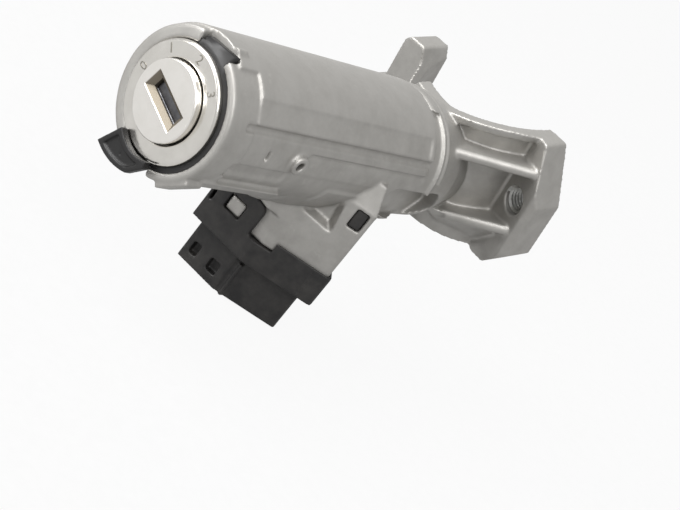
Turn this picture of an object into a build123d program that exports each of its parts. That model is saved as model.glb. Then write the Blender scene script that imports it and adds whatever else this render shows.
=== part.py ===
# Steering lock: a die-cast housing with the key lock in its barrel, a switch on its
# branch and a saddle at the rear that clamps round the steering column.
#
# Frame, in millimetres: the origin is on the barrel's axis in the face of the bright
# ring, +Y runs along the barrel towards the steering column, and the switch branch
# points straight down, along -Z. The saddle opens to the rear and tilts upwards.

import os
from math import cos, radians, sin, sqrt

from build123d import *

os.makedirs("parts", exist_ok=True)

# Clearances
running_gap = 0.06
seat_gap = 0.05

# Bright ring and the walls round it, which carry the radii of the barrel with them
ring_radius = 15.0
guide_wall = 1.55
rim_wall = 2.15
bore_wall = 1.05
land_height = 1.8

# Barrel of the housing
front_bore_radius = ring_radius + guide_wall
rim_radius = front_bore_radius + rim_wall
rim_front = 1.0
rim_length = 9.4
barrel_radius = front_bore_radius + bore_wall
barrel_end = 90.0
land_radius = barrel_radius + land_height
land_front = 10.5
land_rear = 82.5
front_bore_depth = 12.0
cylinder_bore_radius = 13.6
cylinder_bore_end = 52.0
chamber_radius = 13.0
chamber_step = 77.0
chamber_rear_radius = 9.2
chamber_end = 84.0

# Collar and neck at the barrel's rear end, hollow beside the neck
collar_front = 83.0
neck_collar_radius = 19.1
neck_radius = 17.3
neck_end = 98.5
neck_tip_radius = 12.5
neck_tip = 110.0
hollow_front = 73.5
hollow_step = 78.5
hollow_shallow_x = 14.6
hollow_deep_x = 11.2
recess_depth = 3.0

# Bright ring and the guide ring round it
ring_hole_radius = 10.35
ring_length = 8.0
ring_edge = 0.8
ring_wall = 1.2
guide_front = 1.4
guide_rear = 11.6

# Key plug
plug_head_radius = 10.0
plug_proud = 2.0
plug_head_length = 5.0
plug_radius = 8.4
plug_end = 48.0
slot_angle = -13.0
slot_length = 11.4
slot_width = 3.0
funnel_length = 14.4
funnel_width = 5.9
funnel_depth = 1.4
slot_depth = 42.0
tang_front = 44.0
tang_width = 3.0
tang_length = 12.0

# Cylinder body that holds the plug
body_front = 3.4
body_end = 51.0

# Wafers
wafer_count = 7
wafer_pitch = 4.2
wafer_thickness = 1.3
wafer_first = 12.0
wafer_width = 13.2
wafer_height = 9.6

wafer_notch = 3.2
wafer_notch_left = -2.4
wafer_travel = 1.4
wafer_spring_radius = 0.5

# Shutter behind the mouth of the slot, seen from the front: pivot below the slot
shutter_pivot_y = 0.9
shutter_pivot_down = -2.0
shutter_thickness = 0.5
shutter_half = 5.3
shutter_knuckle = 0.7
shutter_pin_radius = 0.35
shutter_pin_half = 7.2

# Shaft, gears and spindle
shaft_radius = 3.0
shaft_end = 86.0
flange_radius = 6.0
flange_front = 48.2
flange_rear = 50.0
branch_y = 67.5
gear_teeth = 12
gear_pitch_radius = 7.2
gear_small_end = 0.705
gear_addendum = 0.9
gear_dedendum = 1.1
gear_tooth_share = 0.35
gear_hub_radius = 5.0
gear_hub_length = 3.2
return_spring_radius = 4.3
return_spring_wire = 0.8

# Cam drum on the shaft: a slanted groove moves the lock bolt
cam_radius = 5.6
cam_core_radius = 4.2
cam_front = 74.4
cam_rear = 83.1
cam_groove_half = 1.3
cam_groove_angle = 214.0
cam_groove_middle = 78.5
cam_groove_reach = 82.0
cam_throw = 2.4
cam_peg_circle = 5.0
clip_front = 83.4
clip_thickness = 0.5

# Spindle of the switch
spindle_top = -5.6
spindle_bottom = -36.0
sleeve_radius = 5.5
sleeve_top = -14.0
rotor_top = -32.4
rotor_bottom = -36.2
rotor_radius = 9.6
rotor_room_top = -32.0
rotor_room_radius = 10.4
bridge_bottom = -37.2
plate_top = -37.5
plate_bottom = -39.9
plate_radius = 11.4
terminal_length = 4.8
terminal_thickness = 0.8
terminal_top = -37.35
terminal_tip = -46.4
terminal_pitch_x = 7.5
terminal_pitch_y = 5.0

# Switch branch, turned half a right angle about the upright axis
branch_half = 16.4
branch_flat = 17.4
branch_bottom = -31.0
branch_shoulder = -7.0
branch_bore_radius = 12.6
collar_half = 17.2
collar_flat = 18.2
collar_top = -28.2
collar_bottom = -37.8
tab_top = -22.2
tab_left = -7.6
tab_right = 7.2
connector_half = 14.0
connector_flat = 16.5
connector_bottom = -50.6
connector_wall = 1.6

# Latch window in the branch face, measured along the face from its middle
latch_start = 11.0
latch_end = 14.8
latch_top = -7.6
latch_bottom = -13.4
arm_left = 11.2
arm_right = 13.2
arm_deep = 12.5
arm_thickness = 1.35
tongue_reach = 3.3

# Bracket at the rear, in its own tilted frame
bracket_y = 95.0
bracket_tilt = 15.0
saddle_x = -3.5
saddle_radius = 21.0
bracket_front = 20.0
bracket_rear = 30.5
bracket_rear_cut = -(20.0 + bracket_rear)
bracket_right = 33.3
web_wall = 2.4
web_rim_proud = 2.2
rib_width = 3.0
rib_root = 6.0
rib_rear = 26.0
bolt_hole_x = 28.6
bolt_hole_right_w = 2.4
bolt_hole_left_w = -8.5
thread_radius = 3.4
thread_lip_radius = 4.1
thread_front = 23.0

# Lock bolt
lock_bolt_width = 8.0
lock_bolt_height = 9.0
lock_bolt_front = -4.0
lock_bolt_tip = 13.1
lock_bolt_gap = 0.08
lock_bolt_inwards = 3.8
tail_left = -7.5
tail_right = -6.1
tail_low = 2.4
tail_high = 4.4
peg_t = -15.2
peg_w = 3.4
peg_radius = 0.9
peg_end_x = -4.5

# Release lever
lever_notch_start = 245.0
lever_notch_end = 289.0
lever_notch_depth = 9.0
lever_angle = 267.0
lever_pin_radius = 0.5
lever_pin_ring = ring_radius + 1.7
lever_pin_y = 6.2
lever_knuckle_radius = 1.2
lever_ear_inside = 4.6
lever_ear_width = 1.1
lever_coil_half = 1.5
paddle_front = -2.4
paddle_thickness = 2.1

# Retaining pin of the cylinder
pin_y = 30.0
pin_z = 2.0
pin_radius = 1.2
pin_seat_x = 8.9
pin_inner_x = 11.5
pin_outer_x = 15.2


def station(y):
    """Plane across the barrel at y: local x is +X, local y is +Z, and it faces the front."""
    return Plane(origin=(0, y, 0), x_dir=(1, 0, 0), z_dir=(0, -1, 0))


def slot_station(y):
    """Plane across the barrel whose local x runs along the key slot."""
    angle = radians(slot_angle)
    return Plane(origin=(0, y, 0), x_dir=(cos(angle), 0, sin(angle)), z_dir=(0, -1, 0))


def level(z, x=0.0, y=branch_y):
    """Level plane at height z, centred on the switch's axis."""
    return Plane(origin=(x, y, z), x_dir=(1, 0, 0), z_dir=(0, 0, 1))


tilt = radians(bracket_tilt)
bracket_origin = Vector(0, bracket_y, 0)
bracket_out = Vector(0, cos(tilt), sin(tilt))
bracket_up = Vector(0, -sin(tilt), cos(tilt))


def bracket_level(w):
    """Plane along the bracket at height w: local x is +X and local y runs to the rear."""
    return Plane(origin=bracket_origin + bracket_up * w, x_dir=(1, 0, 0), z_dir=bracket_up)


def bracket_station(t):
    """Plane across the bracket at t: local x is +X, local y is up, and it faces the front."""
    return Plane(origin=bracket_origin + bracket_out * t, x_dir=(1, 0, 0), z_dir=-bracket_out)


def around(radius, angle):
    """Point at an angle from +X towards +Z, on a circle about the barrel's axis."""
    return (radius * cos(radians(angle)), radius * sin(radians(angle)))


def pie(radius, start, end):
    """Slice of a disc between two angles."""
    with BuildSketch(Plane.XY) as slice_sketch:
        with BuildLine():
            Line((0, 0), around(radius, start))
            CenterArc((0, 0), radius, start, end - start)
            Line(around(radius, end), (0, 0))
        make_face()
    return slice_sketch.sketch


def turned_square(half, flat):
    """Square on its corner, with the front and rear corners cut off flat."""
    with BuildSketch(Plane.XY) as square_sketch:
        Rectangle(2 * half, 2 * half, rotation=45)
        Rectangle(4 * half, 2 * flat, mode=Mode.INTERSECT)
        fillet(square_sketch.vertices(), 1.2)
    return square_sketch.sketch


# Plane of the release lever's middle: local x is outwards from the barrel's axis, local y is +Y
lever_out = Vector(cos(radians(lever_angle)), 0, sin(radians(lever_angle)))
lever_plane = Plane(origin=(0, 0, 0), x_dir=lever_out, z_dir=lever_out.cross(Vector(0, 1, 0)))

# The face of the branch that looks to the right and the front
face_plane = Plane(
    origin=(branch_half / sqrt(2), branch_y - branch_half / sqrt(2), 0),
    x_dir=(1 / sqrt(2), 1 / sqrt(2), 0),
    z_dir=(1 / sqrt(2), -1 / sqrt(2), 0),
)


def bracket_rib(left, right):
    """Rib from the neck out to a block. Its rounded crest runs between two points (x, t, w)."""
    run = Vector(right[0] - left[0], 0, 0) + bracket_up * (right[2] - left[2])
    start = bracket_origin + Vector(left[0], 0, 0) + bracket_up * left[2]
    with BuildPart() as rib:
        with BuildSketch(Plane(origin=start, x_dir=run, z_dir=run.cross(bracket_out))):
            Polygon(
                (-rib_root, left[1]),
                (0, left[1]),
                (run.length, right[1]),
                (run.length, rib_rear),
                (-rib_root, rib_rear),
                align=None,
            )
        extrude(amount=rib_width / 2, both=True)
        crest = rib.faces().sort_by(SortBy.AREA)[:-2].sort_by_distance(start + run / 2)[0]
        fillet(crest.edges().sort_by(SortBy.LENGTH)[-2:], rib_width / 2 - 0.1)
    return rib.part


# Web round the saddle with a thicker rim along its top
with BuildPart() as web_rim:
    with BuildSketch(bracket_level(10)):
        with Locations((saddle_x, bracket_rear)):
            Circle(saddle_radius + web_wall + web_rim_proud)
    extrude(amount=20)
    with BuildSketch(bracket_station(-20)):
        Polygon((-14, 12.8), (0, 13.4), (17.5, 18.8), (21, 19.6), (21, 30), (-14, 30), align=None)
    extrude(amount=-60, mode=Mode.INTERSECT)

# Lower flank of the bracket, which slopes back under the lower rib
with BuildPart() as flank:
    with BuildSketch(bracket_level(-9.0)):
        Polygon((-12, 3), (13.0, 4.6), (26.0, 20.5), (26.0, 29), (-25, 29), (-25, 20), align=None)
    with BuildSketch(bracket_level(-20.8)):
        Polygon((-12, 13), (12, 18.5), (21.3, 29), (21.3, 30), (-25, 30), (-25, 24), align=None)
    loft(ruled=True)

# Bracket: web, blocks, ribs and flank, cut to its outline as seen from the front
with BuildPart() as bracket:
    with BuildSketch(bracket_level(-24)):
        with Locations((saddle_x, bracket_rear)):
            Circle(saddle_radius + web_wall)
        Polygon(
            (17.0, bracket_rear),
            (17.0, 25.0),
            (18.8, 23.6),
            (bracket_right - 2.4, bracket_front - 0.4),
            (bracket_right + 0.5, bracket_front + 1.2),
            (bracket_right + 0.5, bracket_rear),
            align=None,
        )
        Polygon(
            (-22.5, bracket_front),
            (-41, bracket_front),
            (-41, bracket_rear),
            (-22.5, bracket_rear),
            align=None,
        )
    extrude(amount=50)
    add(web_rim.part)
    add(flank.part)
    add(bracket_rib((13.0, 2.8, 10.6), (27.5, 20.0, 13.7)))
    add(bracket_rib((16.7, 8.9, -9.5), (31.0, 20.2, -4.4)))
    add(bracket_rib((-16.0, 4.0, -6.0), (-28.0, bracket_front + 0.5, -6.0)))
    with BuildSketch(bracket_station(-20)) as bracket_outline:
        with BuildLine():
            Polyline(
                (17.5, 21.2),
                (24.4, 22),
                (33.3, 6.3),
                (33.3, -11.3),
                (27, -19.1),
                (21.5, -20.8),
                (4, -19),
                (-14, -18),
                (-36, -18),
                (-40.5, -13),
                (-40.5, -6),
                (-34.0, -3),
                (-33.6, 12.5),
                (-31.8, 14.4),
                (-26.3, 15.0),
                (-20, 2),
                (-12, 15),
                (0, 15.7),
                close=True,
            )
        make_face()
        fillet(bracket_outline.vertices(), 1.0)
    extrude(amount=bracket_rear_cut, mode=Mode.INTERSECT)

# Housing: one casting
with BuildPart() as lock_housing:
    with BuildSketch(station(rim_front)) as rim:
        Circle(rim_radius)
    extrude(amount=-rim_length)
    fillet(lock_housing.edges().group_by(Axis.Y)[0], 0.9)

    with BuildSketch(station(rim_front + rim_length)):
        Circle(barrel_radius)
    extrude(amount=-(barrel_end - rim_front - rim_length))

    # Lands along the barrel: radius, from angle, to angle, front, rear
    for radius, start, end, front, rear in (
        (land_radius, 66, 212, 4.0, land_rear),
        (land_radius, 28.4, 67, land_front, land_rear),
        (land_radius - 1.0, 12.2, 29, land_front, land_rear + 2),
        (land_radius - 1.0, -4.8, 12.2, 6.0, pin_y),
        (land_radius - 1.6, -4.8, 12.2, pin_y, land_rear + 2),
        (land_radius - 0.5, 212, 226, land_front, land_rear),
        (land_radius - 1.2, -85, -17, 50.0, land_rear),
    ):
        with BuildSketch(station(front)):
            add(pie(radius, start, end))
            Circle(barrel_radius - 2, mode=Mode.SUBTRACT)
        extrude(amount=-(rear - front))

    # Lip along the lower right edge
    with BuildSketch(station(6.0)):
        add(pie(land_radius, -35, -27))
    extrude(amount=-28.0)

    # Foot under the rim, square to a line that slopes down to the right
    with BuildSketch(station(rim_front + 0.6)):
        with Locations(Rotation(0, 0, -46) * Pos(15.2, 0, 0)):
            Rectangle(8.8, 10.0)
    extrude(amount=-5.4)

    # Collar at the rear end of the barrel, and the neck behind it
    with BuildSketch(Plane.XY):
        with BuildLine():
            Polyline(
                (0, collar_front),
                (barrel_radius, collar_front),
                (neck_collar_radius - 0.4, collar_front + 1),
                (neck_collar_radius, collar_front + 2),
                (neck_collar_radius, collar_front + 4),
                (neck_collar_radius - 0.5, collar_front + 5),
                (neck_radius, collar_front + 7.4),
                (neck_radius - 0.4, neck_end),
                (neck_tip_radius, neck_tip),
                (0, neck_tip),
                close=True,
            )
        make_face()
    revolve(axis=Axis.Y)

    add(bracket.part)
    with BuildSketch(bracket_level(-36)):
        with Locations((saddle_x, bracket_rear)):
            Circle(saddle_radius)
    extrude(amount=70, mode=Mode.SUBTRACT)

    # The underside slopes down to the rear, from the barrel to the saddle
    with BuildSketch(Plane(origin=(60, 0, 0), x_dir=(0, 1, 0), z_dir=(1, 0, 0))):
        Polygon((86, -60), (86, -17.4), (100, -18.4), (116, -20.2), (116, -60), align=None)
    extrude(amount=-120, mode=Mode.SUBTRACT)

    # Hollow between the switch branch and the neck
    for hollow_x, hollow_y in ((hollow_shallow_x, hollow_front), (hollow_deep_x, hollow_step)):
        with BuildSketch(Plane(origin=(hollow_x, 0, 0), x_dir=(0, 1, 0), z_dir=(1, 0, 0))) as hollow:
            Polygon(
                (hollow_y, -0.4), (96, -0.4), (99, -6), (95, -12), (84, -13), (hollow_y, -13), align=None
            )
            fillet(hollow.vertices().sort_by(Axis.Y)[-3:], 2.4)
        extrude(amount=20, mode=Mode.SUBTRACT)

    # Switch branch, which narrows where it runs into the barrel
    with BuildSketch(level(branch_bottom)):
        add(turned_square(branch_half, branch_flat))
    extrude(amount=branch_shoulder - branch_bottom)
    with BuildSketch(level(branch_shoulder)):
        add(turned_square(branch_half, branch_flat))
    with BuildSketch(level(0)):
        add(turned_square(branch_half - 4.0, branch_flat - 2.0))
    loft()

    # Bosses: retaining pin on the right side, small knob beside the rim's notch
    with BuildSketch(Plane(origin=(17, pin_y, pin_z), x_dir=(0, 1, 0), z_dir=(1, 0, 0))):
        Circle(2.5)
    extrude(amount=2.9)
    with BuildSketch(station(2.0)):
        with Locations(around(19.2, 80)):
            Circle(1.0)
    extrude(amount=-6.0)

    # Bore, chamber and the way down to the switch
    with BuildSketch(Plane.XY):
        with BuildLine():
            Polyline(
                (0, -1),
                (front_bore_radius, -1),
                (front_bore_radius, front_bore_depth),
                (cylinder_bore_radius, front_bore_depth),
                (cylinder_bore_radius, cylinder_bore_end),
                (chamber_radius, cylinder_bore_end),
                (chamber_radius, chamber_step),
                (chamber_rear_radius, chamber_step),
                (chamber_rear_radius, chamber_end),
                (0, chamber_end),
                close=True,
            )
        make_face()
    revolve(axis=Axis.Y, mode=Mode.SUBTRACT)
    with BuildSketch(level(branch_bottom - 1)):
        Circle(branch_bore_radius)
    extrude(amount=-branch_bottom - 1, mode=Mode.SUBTRACT)

    # Notches in the rim for the guide ring's lug and for the release lever
    with BuildSketch(station(0)):
        add(pie(30, 70.5, 106))
    extrude(amount=-4.6, mode=Mode.SUBTRACT)
    with BuildSketch(station(0)):
        add(pie(30, lever_notch_start, lever_notch_end))
    extrude(amount=-lever_notch_depth, mode=Mode.SUBTRACT)

    # Long groove under the lowest land, slit in front of the boss
    with BuildSketch(station(9)):
        add(pie(land_radius + 3, -17.5, -4.8))
        Circle(barrel_radius - 0.7, mode=Mode.SUBTRACT)
    extrude(amount=-22, mode=Mode.SUBTRACT)
    with BuildSketch(station(18.5)):
        add(pie(land_radius + 3, 1.5, 12))
        Circle(barrel_radius + 0.3, mode=Mode.SUBTRACT)
    extrude(amount=-0.5, mode=Mode.SUBTRACT)

    # Pin hole in the boss
    with BuildSketch(Plane(origin=(pin_inner_x, pin_y, pin_z), x_dir=(0, 1, 0), z_dir=(1, 0, 0))):
        Circle(pin_radius + running_gap)
    extrude(amount=12, mode=Mode.SUBTRACT)

    # Tooth that holds the clip ring, on the front flat of the branch
    with BuildSketch(station(branch_y - collar_flat)):
        with Locations((-1.15, -28.25)):
            Rectangle(6.7, 4.1)
    extrude(amount=-2)

    # Three-cornered recess and latch window in the branch's face
    with BuildSketch(face_plane) as recess:
        Polygon((-2.2, -16.2), (7.4, -7.4), (9.3, -17.8), align=None)
        fillet(recess.vertices(), 0.9)
    extrude(amount=-recess_depth, taper=28, mode=Mode.SUBTRACT)
    with BuildSketch(face_plane):
        with Locations(((latch_start + latch_end) / 2, (latch_top + latch_bottom) / 2)):
            Rectangle(latch_end - latch_start, latch_top - latch_bottom)
    extrude(amount=-4.2, mode=Mode.SUBTRACT)
    with BuildSketch(face_plane.offset(-1.8)):
        with Locations(((latch_start + latch_end) / 2, (latch_top + branch_bottom - 1) / 2)):
            Rectangle(latch_end - latch_start, latch_top - branch_bottom + 1)
    extrude(amount=-2.4, mode=Mode.SUBTRACT)

    # Channel of the lock bolt, with a narrower way through for its follower, threaded holes
    with BuildSketch(bracket_station(lock_bolt_front - lock_bolt_inwards - 0.4)):
        with Locations((saddle_x, 0)):
            Rectangle(lock_bolt_width + 2 * lock_bolt_gap, lock_bolt_height + 2 * lock_bolt_gap)
    extrude(amount=-30, mode=Mode.SUBTRACT)
    with BuildSketch(bracket_station(-14)):
        with Locations(((tail_left + tail_right) / 2, (tail_low + tail_high) / 2)):
            Rectangle(tail_right - tail_left + 2 * lock_bolt_gap, tail_high - tail_low + 2 * lock_bolt_gap)
    extrude(amount=-8, mode=Mode.SUBTRACT)

    # Rear bearing of the shaft
    with BuildSketch(station(chamber_end - 1)):
        Circle(shaft_radius + running_gap)
    extrude(amount=-(shaft_end + 1.4 - chamber_end), mode=Mode.SUBTRACT)
    for hole_x, hole_w in (
        (saddle_x + bolt_hole_x, bolt_hole_right_w),
        (saddle_x - bolt_hole_x, bolt_hole_left_w),
    ):
        with BuildSketch(bracket_station(bracket_front - 4)):
            with Locations((hole_x, hole_w)):
                Circle(thread_lip_radius)
        extrude(amount=-(thread_front + 4 - bracket_front), mode=Mode.SUBTRACT)
        with BuildSketch(bracket_station(thread_front)):
            with Locations((hole_x, hole_w)):
                Circle(thread_radius)
        extrude(amount=-20, mode=Mode.SUBTRACT)

lock_housing.part.label = "lock_housing"
export_step(lock_housing.part, "parts/lock_housing.step")

# Bright face ring: a turned cap over the front of the cylinder body
with BuildPart() as face_ring:
    with BuildSketch(Plane.XY):
        with BuildLine():
            Polyline(
                (ring_hole_radius, 0),
                (ring_radius, 0),
                (ring_radius, ring_length),
                (ring_radius - ring_wall, ring_length),
                (ring_radius - ring_wall, body_front - seat_gap),
                (ring_hole_radius, body_front - seat_gap),
                close=True,
            )
        make_face()
    revolve(axis=Axis.Y)
    fillet(face_ring.edges().group_by(Axis.Y)[0].sort_by(SortBy.LENGTH)[-1], ring_edge)
    fillet(face_ring.edges().group_by(Axis.Y)[0].sort_by(SortBy.LENGTH)[0], 0.3)

face_ring.part.label = "face_ring"
export_step(face_ring.part, "parts/face_ring.step")

# Cylinder body: the sleeve in which the key plug turns
with BuildPart() as cylinder_body:
    with BuildSketch(Plane.XY):
        with BuildLine():
            Polyline(
                (plug_radius + running_gap, body_front),
                (ring_radius - ring_wall - seat_gap, body_front),
                (ring_radius - ring_wall - seat_gap, ring_length + seat_gap),
                (ring_radius, ring_length + seat_gap),
                (ring_radius, front_bore_depth - seat_gap),
                (cylinder_bore_radius - seat_gap, front_bore_depth - seat_gap),
                (cylinder_bore_radius - seat_gap, body_end),
                (plug_radius + running_gap, body_end),
                close=True,
            )
        make_face()
    revolve(axis=Axis.Y)
    # Groove that the wafers lock into, on the left of the slot
    with BuildSketch(slot_station(wafer_first - 2)):
        with Locations((-(plug_radius + wafer_travel) / 2, 0)):
            Rectangle(plug_radius + wafer_travel, wafer_height + 0.6)
    extrude(amount=-(wafer_count * wafer_pitch + 2), mode=Mode.SUBTRACT)
    # Cross hole for the retaining pin
    with BuildSketch(Plane(origin=(pin_seat_x, pin_y, pin_z), x_dir=(0, 1, 0), z_dir=(1, 0, 0))):
        Circle(pin_radius + running_gap)
    extrude(amount=8, mode=Mode.SUBTRACT)

cylinder_body.part.label = "cylinder_body"
export_step(cylinder_body.part, "parts/cylinder_body.step")

# Guide ring: dark ring round the bright one, with a lug at the top and two ears for the lever
with BuildPart() as guide_ring:
    with BuildSketch(station(guide_front)):
        Circle(front_bore_radius - seat_gap)
        Circle(ring_radius + seat_gap, mode=Mode.SUBTRACT)
    extrude(amount=-(guide_rear - guide_front))
    with BuildSketch(station(guide_front + 0.6)):
        Polygon(
            (-4.3, ring_radius - 1.0),
            (-4.0, ring_radius + 2.2),
            (5.8, ring_radius + 3.7),
            (5.4, ring_radius - 1.0),
            align=None,
        )
        Circle(ring_radius + seat_gap, mode=Mode.SUBTRACT)
    extrude(amount=-2.5)
    # Gap in the ring where the lever stands
    with BuildSketch(station(0)):
        add(pie(30, lever_notch_start + 1.0, lever_notch_end - 1.0))
    extrude(amount=-lever_notch_depth, mode=Mode.SUBTRACT)
    # Ears with the holes for the lever's pin
    for side in (-1, 1):
        with BuildSketch(lever_plane.offset(side * (lever_ear_inside + lever_ear_width / 2))):
            Polygon(
                (lever_pin_ring - 2.2, lever_pin_y + 3.4),
                (lever_pin_ring - 2.2, lever_pin_y - 1.3),
                (lever_pin_ring + 1.2, lever_pin_y - 1.3),
                (lever_pin_ring + 1.2, lever_pin_y + 2.5),
                (lever_pin_ring - 1.3, lever_pin_y + 2.5),
                (lever_pin_ring - 1.3, lever_pin_y + 3.4),
                align=None,
            )
            with Locations((lever_pin_ring, lever_pin_y)):
                Circle(lever_pin_radius, mode=Mode.SUBTRACT)
        extrude(amount=lever_ear_width / 2, both=True)

guide_ring.part.label = "guide_ring"
export_step(guide_ring.part, "parts/guide_ring.step")

# Release lever: the dark paddle at the lower left
with BuildPart() as release_lever:
    with BuildSketch(station(paddle_front)) as paddle:
        with BuildLine():
            Line((-5.2, -12.6), (-9.0, -20.0))
            ThreePointArc((-9.0, -20.0), (-3.3, -20.9), (3.5, -19.4))
            Line((3.5, -19.4), (7.2, -14.9))
            Line((7.2, -14.9), (6.6, -13.2))
            ThreePointArc((6.6, -13.2), (0.6, -14.6), (-5.2, -12.6))
        make_face()
    extrude(amount=-paddle_thickness)
    with BuildSketch(station(paddle_front)):
        offset(paddle.sketch, amount=-1.3)
    extrude(amount=-0.6, taper=20, mode=Mode.SUBTRACT)
    # Arm and knuckle
    with BuildSketch(lever_plane) as arm:
        with Locations((lever_pin_ring - 0.25, (paddle_front + paddle_thickness + lever_pin_y) / 2)):
            Rectangle(1.9, lever_pin_y - paddle_front - paddle_thickness + 0.8)
        with Locations((lever_pin_ring, lever_pin_y)):
            Circle(lever_knuckle_radius)
    extrude(amount=lever_ear_inside - 0.2, both=True)
    with BuildSketch(lever_plane):
        with Locations((lever_pin_ring, lever_pin_y)):
            Circle(lever_pin_radius + running_gap)
    extrude(amount=20, both=True, mode=Mode.SUBTRACT)
    # Room for the coil of the spring
    with BuildSketch(lever_plane):
        with Locations((lever_pin_ring, lever_pin_y)):
            Circle(lever_knuckle_radius + 0.6)
    extrude(amount=lever_coil_half + 0.2, both=True, mode=Mode.SUBTRACT)

release_lever.part.label = "release_lever"
export_step(release_lever.part, "parts/release_lever.step")

with BuildPart() as lever_pin:
    with BuildSketch(lever_plane):
        with Locations((lever_pin_ring, lever_pin_y)):
            Circle(lever_pin_radius)
    extrude(amount=lever_ear_inside + lever_ear_width, both=True)

lever_pin.part.label = "lever_pin"
export_step(lever_pin.part, "parts/lever_pin.step")


def coil(plane, radius, wire, length, turns):
    """Coil of square wire that starts on the plane and runs along its normal."""
    with BuildPart() as coil_part:
        with BuildLine() as path:
            Helix(pitch=length / turns, height=length, radius=radius)
        with BuildSketch(Plane(origin=path.line @ 0, z_dir=path.line % 0)):
            Rectangle(wire, wire)
        sweep(path=path.line, is_frenet=True)
    return plane.location * coil_part.part


lever_spring = coil(
    Plane(
        origin=lever_plane.origin + lever_out * lever_pin_ring + Vector(0, lever_pin_y, 0)
        - lever_plane.z_dir * lever_coil_half,
        z_dir=lever_plane.z_dir,
    ),
    lever_pin_radius + 0.3,
    0.3,
    2 * lever_coil_half,
    3,
)
lever_spring.label = "lever_spring"
export_step(lever_spring, "parts/lever_spring.step")

# Directions along and across the key slot, and the plane across the shutter's pin
slot_along = slot_station(0).x_dir
slot_across = slot_station(0).y_dir
shutter_plane = Plane(
    origin=slot_across * shutter_pivot_down + Vector(0, shutter_pivot_y, 0),
    x_dir=(0, 1, 0),
    z_dir=slot_along,
)

# Key plug: turns in the cylinder body and carries the wafers and the shutter
with BuildPart() as key_plug:
    with BuildSketch(station(-plug_proud)):
        Circle(plug_head_radius)
    extrude(amount=-plug_head_length)
    fillet(key_plug.edges().group_by(Axis.Y)[0], 0.4)
    with BuildSketch(station(plug_head_length - plug_proud)):
        Circle(plug_radius)
    extrude(amount=-(plug_end + plug_proud - plug_head_length))
    with BuildSketch(slot_station(-plug_proud)):
        Rectangle(slot_length, slot_width)
    extrude(amount=-slot_depth, mode=Mode.SUBTRACT)
    with BuildSketch(slot_station(-plug_proud)):
        Rectangle(funnel_length, funnel_width)
    with BuildSketch(slot_station(funnel_depth - plug_proud)):
        Rectangle(slot_length, slot_width)
    loft(mode=Mode.SUBTRACT)
    # Room for the shutter to swing in, and the hole of its pin
    with BuildSketch(slot_station(shutter_pivot_y - shutter_knuckle - 0.35)):
        with Locations((0, shutter_pivot_down + 0.25)):
            Rectangle(slot_length, 2 * (shutter_knuckle + 0.6))
    extrude(amount=-5.0, mode=Mode.SUBTRACT)
    with BuildSketch(shutter_plane):
        Circle(shutter_pin_radius)
    extrude(amount=shutter_pin_half, both=True, mode=Mode.SUBTRACT)
    # Wafer slots, each with a corner left as the stop of the wafer's spring
    for index in range(wafer_count):
        with BuildSketch(slot_station(wafer_first + index * wafer_pitch - 0.05)):
            with Locations((0, (wafer_notch - wafer_height / 2 - 0.1) / 2)):
                Rectangle(3 * plug_radius, wafer_notch + wafer_height / 2 + 0.1)
            with Locations((-plug_radius / 2 - 2, (wafer_notch + wafer_height / 2 + 0.1) / 2)):
                Rectangle(plug_radius - 2 * wafer_notch_left + 4, wafer_height / 2 + 0.1 - wafer_notch)
        extrude(amount=-(wafer_thickness + 0.1), mode=Mode.SUBTRACT)
    # Slot across the end for the shaft's tang
    with BuildSketch(slot_station(tang_front)):
        Rectangle(tang_length + 0.2, tang_width + 0.2)
    extrude(amount=-10, mode=Mode.SUBTRACT)

key_plug.part.label = "key_plug"
export_step(key_plug.part, "parts/key_plug.step")

# Shutter: a flap in the mouth of the slot, on a pin below it
with BuildPart() as slot_shutter:
    with BuildSketch(slot_station(shutter_pivot_y - shutter_thickness)):
        with Locations((0, (shutter_pivot_down + slot_width / 2 - 0.1) / 2)):
            Rectangle(2 * shutter_half, slot_width / 2 - 0.1 - shutter_pivot_down)
    extrude(amount=-shutter_thickness)
    with BuildSketch(shutter_plane):
        Circle(shutter_knuckle)
    extrude(amount=shutter_half, both=True)
    with BuildSketch(shutter_plane):
        Circle(shutter_pin_radius + 0.04)
    extrude(amount=2 * shutter_half, both=True, mode=Mode.SUBTRACT)

slot_shutter.part.label = "slot_shutter"
export_step(slot_shutter.part, "parts/slot_shutter.step")

with BuildPart() as shutter_pin:
    with BuildSketch(shutter_plane):
        Circle(shutter_pin_radius)
    extrude(amount=shutter_pin_half, both=True)

shutter_pin.part.label = "shutter_pin"
export_step(shutter_pin.part, "parts/shutter_pin.step")

# Wafers, all at the height that a key gives them
with BuildPart() as wafers:
    for index in range(wafer_count):
        with BuildSketch(slot_station(wafer_first + index * wafer_pitch)):
            Rectangle(wafer_width, wafer_height)
            Rectangle(slot_length + 0.2, slot_width + 0.2, mode=Mode.SUBTRACT)
            with Locations((wafer_notch_left + 5, wafer_notch + 5)):
                Rectangle(10, 10, mode=Mode.SUBTRACT)
        extrude(amount=-wafer_thickness)

wafers.part.label = "wafers"
export_step(wafers.part, "parts/wafers.step")

# One coil spring beside each wafer, along the slot
wafer_spring_list = []
for index in range(wafer_count):
    spring_start = (
        slot_along * (wafer_notch_left + 0.15)
        + slot_across * ((wafer_notch + wafer_height / 2) / 2)
        + Vector(0, wafer_first + index * wafer_pitch + wafer_thickness / 2, 0)
    )
    wafer_spring_list.append(
        coil(Plane(origin=spring_start, z_dir=slot_along), wafer_spring_radius, 0.2, 4.3, 3)
    )
wafer_springs = Compound(label="wafer_springs", children=wafer_spring_list)
export_step(wafer_springs, "parts/wafer_springs.step")

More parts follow.
